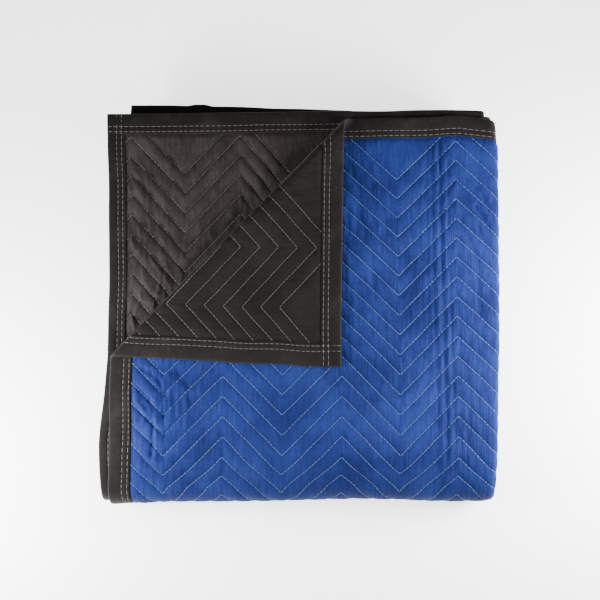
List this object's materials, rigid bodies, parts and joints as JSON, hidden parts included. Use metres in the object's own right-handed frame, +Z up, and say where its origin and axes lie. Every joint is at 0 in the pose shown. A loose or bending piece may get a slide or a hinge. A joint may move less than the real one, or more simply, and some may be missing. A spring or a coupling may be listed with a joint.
{
  "type": "moving blanket",
  "caption": "Quilted moving blanket with a blue face, a black back and black bound edges, folded into a flat square stack with one corner turned back.",
  "frame": {"origin": "centre of the folded stack's outline, at the surface that it lies on", "axes": "+Z up; +Y from the rounded front fold to the bound back edges; +X from the bound left edges to the folds on the right"},
  "size_m": [0.5054, 0.5214, 0.0907],
  "materials": {
    "blue_cloth": "matt woven polyester, quilted",
    "black_cloth": "matt woven polyester, quilted",
    "black_tape": "matt woven polyester tape"
  },
  "bodies": {
    "root": {"face_cloth": "blue_cloth", "back_cloth": "black_cloth", "binding_first_end": "black_tape", "binding_last_end": "black_tape", "binding_back_edge": "black_tape", "binding_tail_edge": "black_tape"}
  },
  "joints": []
}
